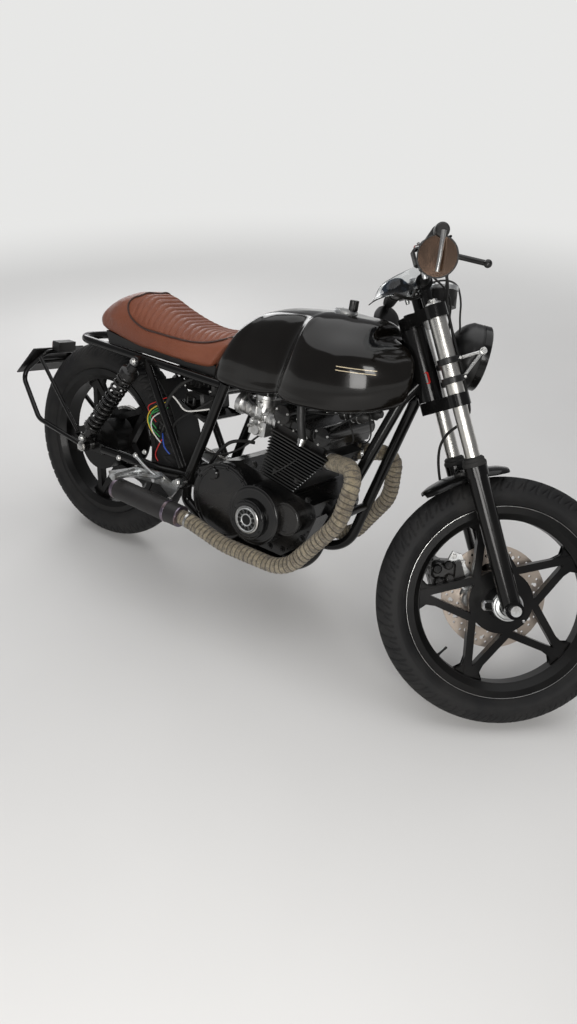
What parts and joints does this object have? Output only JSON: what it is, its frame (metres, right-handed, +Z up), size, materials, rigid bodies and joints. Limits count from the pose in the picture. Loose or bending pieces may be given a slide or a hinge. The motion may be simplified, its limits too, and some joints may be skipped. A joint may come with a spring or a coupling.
{
  "type": "cafe racer motorcycle",
  "caption": "Black cafe racer motorcycle with a parallel twin engine, star wheels, a humped brown seat and wrapped exhaust pipes, leaning on its side stand.",
  "frame": {"origin": "on the floor, under the middle of the outline", "axes": "+X towards the front, +Y to the machine's left, +Z up; the machine leans to its left on its side stand"},
  "size_m": [2.0289, 0.688, 1.1709],
  "materials": {
    "gloss_black": "gloss",
    "frame_black": "gloss",
    "engine_black": "satin",
    "satin_black": "satin",
    "tyre_rubber": "matt",
    "grip_rubber": "matt",
    "bright_chrome": "polished",
    "bare_aluminium": "satin",
    "disc_steel": "brushed",
    "plain_steel": "brushed",
    "pipe_wrap": "woven",
    "seat_leather": "satin",
    "plastic_black": "matt",
    "clear_screen": "clear gloss",
    "lamp_glass": "clear gloss",
    "lamp_red": "gloss",
    "exhaust_black": "matt",
    "sidebar_mirror": "polished"
  },
  "bodies": {
    "chassis": {"alternator_cover": "engine_black", "cam_cover": "engine_black", "carburettors": "bare_aluminium", "clutch_cover": "engine_black", "cover_badge": "bare_aluminium", "crankcase": "engine_black", "cylinder_block": "engine_black", "cylinder_head": "engine_black", "drive_chain": "plain_steel", "electrics_tray": "plastic_black", "filler_cap": "bare_aluminium", "footrest_left": "bare_aluminium", "footrest_right": "bare_aluminium", "fuel_tank": "gloss_black", "header_left": "pipe_wrap", "header_right": "pipe_wrap", "intake_left": "grip_rubber", "intake_right": "grip_rubber", "main_frame": "frame_black", "muffler_left": "exhaust_black", "muffler_right": "exhaust_black", "number_plate": "plastic_black", "pivot_bolt": "plain_steel", "plate_carrier": "satin_black", "rear_axle": "plain_steel", "rear_mudguard": "satin_black", "rear_subframe": "frame_black", "seat": "seat_leather", "seat_base": "plastic_black", "shock_left": "satin_black", "shock_right": "satin_black", "swingarm": "frame_black", "tail_lamp": "lamp_red"},
    "steering": {"lower_yoke": "gloss_black", "upper_yoke": "gloss_black", "fork_tubes": "bright_chrome", "fork_sliders": "gloss_black", "front_axle": "plain_steel", "front_mudguard": "gloss_black", "headlight_shell": "gloss_black", "headlight_lens": "lamp_glass", "headlight_brackets": "plain_steel", "handlebar": "satin_black", "grips": "grip_rubber", "brake_control": "satin_black", "clutch_control": "satin_black", "mirrors": "satin_black", "gauge": "satin_black", "flyscreen": "clear_screen", "brake_caliper": "engine_black", "brake_hose": "grip_rubber"},
    "front_wheel": {"front_tyre": "tyre_rubber", "front_rim": "gloss_black", "brake_disc": "disc_steel"},
    "rear_wheel": {"rear_tyre": "tyre_rubber", "rear_rim": "gloss_black"},
    "side_stand": {"side_stand": "satin_black"}
  },
  "joints": [
    {"name": "steering", "type": "hinge", "parent": "chassis", "child": "steering", "pos_m": [0.3639, 0.04059, 0.88259], "axis": [-0.4857, 0.2144, 0.8474], "range_deg": [-74.6, 0]},
    {"name": "front_wheel", "type": "hinge", "parent": "steering", "child": "front_wheel", "pos_m": [0.74235, -0.087, 0.27979], "axis": [-0.5297, 0.699, -0.4805], "continuous": true},
    {"name": "rear_wheel", "type": "hinge", "parent": "chassis", "child": "rear_wheel", "pos_m": [-0.63529, -0.10269, 0.31636], "axis": [0, 0.9694, -0.2453], "continuous": true},
    {"name": "side_stand", "type": "hinge", "parent": "chassis", "child": "side_stand", "pos_m": [-0.12493, -0.00187, 0.13591], "axis": [0.0691, 0.7792, 0.623], "range_deg": [0, 98]}
  ]
}
